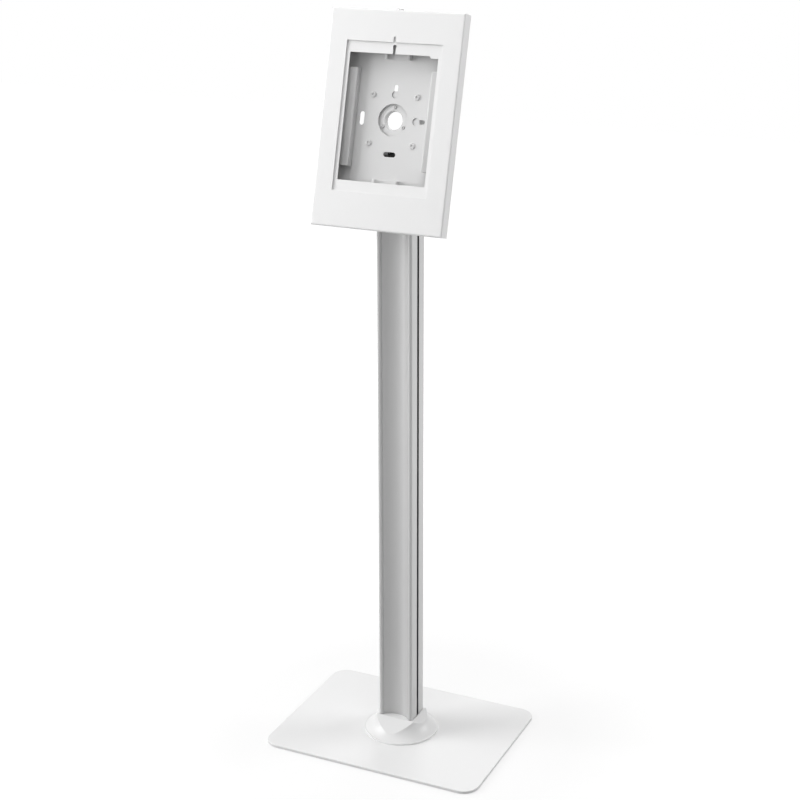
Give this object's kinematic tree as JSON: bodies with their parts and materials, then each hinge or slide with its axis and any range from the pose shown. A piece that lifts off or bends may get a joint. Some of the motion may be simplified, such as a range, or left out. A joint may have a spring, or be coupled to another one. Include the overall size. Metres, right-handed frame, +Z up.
{
  "type": "adjustable tablet floor stand",
  "caption": "Floor stand for a tablet: flat base plate, slotted column, and a lockable case with a window that tilts and turns on a hollow hub.",
  "frame": {"origin": "on the floor under the middle of the base plate", "axes": "+Z up along the column, -Y is the side that the tablet faces, +X to the right seen from the front"},
  "size_m": [0.4, 0.3, 1.2596],
  "materials": {
    "white_powder": "satin white powder coat on sheet steel",
    "white_extrusion": "satin white coat on extruded aluminium",
    "white_plastic": "moulded white plastic, semi-gloss",
    "black_powder": "matte black powder coat on steel",
    "black_screw": "black oxide steel fasteners",
    "white_screw": "painted pan heads and rivets",
    "zinc_steel": "bright zinc plate",
    "lock_chrome": "polished chrome",
    "nylon": "natural nylon",
    "grey_pad": "thin foam rubber pad"
  },
  "bodies": {
    "stand": {"base_plate": "white_powder", "base_pads": "grey_pad", "foot_screws": "zinc_steel", "column": "white_extrusion", "foot_cover": "white_plastic", "neck_bracket": "black_powder", "neck_screws": "black_screw", "tilt_spacer": "zinc_steel", "tilt_bolt": "black_screw", "tilt_nut": "black_screw", "tilt_washers": "zinc_steel", "tilt_friction_washers": "nylon"},
    "yoke": {"tilt_yoke": "white_powder", "swivel_bush": "zinc_steel", "swivel_keeper": "white_powder", "keeper_screws": "zinc_steel", "swivel_washer_rear": "nylon"},
    "head": {"adapter_plate": "white_powder", "swivel_washer_front": "nylon", "adapter_screws": "white_screw", "rear_tray": "white_powder", "left_bar": "white_powder", "right_bar": "white_powder", "top_bracket": "white_powder", "bottom_bracket": "white_powder", "nest_rivets": "white_screw"},
    "cover": {"front_cover": "white_powder", "inner_frame": "white_powder", "frame_studs": "zinc_steel", "frame_nuts": "zinc_steel", "lock_barrel": "lock_chrome", "lock_nut": "zinc_steel"},
    "lock": {"lock_plug": "lock_chrome", "lock_cam": "zinc_steel", "cam_screw": "zinc_steel"}
  },
  "joints": [
    {"name": "head_tilt", "type": "hinge", "parent": "stand", "child": "yoke", "pos_m": [0, -0.0014, 1.049], "axis": [-1, 0, 0], "range_deg": [-15, 75]},
    {"name": "head_turn", "type": "hinge", "parent": "yoke", "child": "head", "pos_m": [0, -0.02132, 1.09057], "axis": [0, -0.9659, 0.2588], "continuous": true},
    {"name": "cover_open", "type": "hinge", "parent": "head", "child": "cover", "pos_m": [0, -0.07611, 0.92667], "axis": [1, 0, 0], "range_deg": [0, 35]},
    {"name": "lock_turn", "type": "hinge", "parent": "cover", "child": "lock", "pos_m": [0, 0.00426, 1.25557], "axis": [0, 0.2588, 0.9659], "range_deg": [0, 90]}
  ]
}
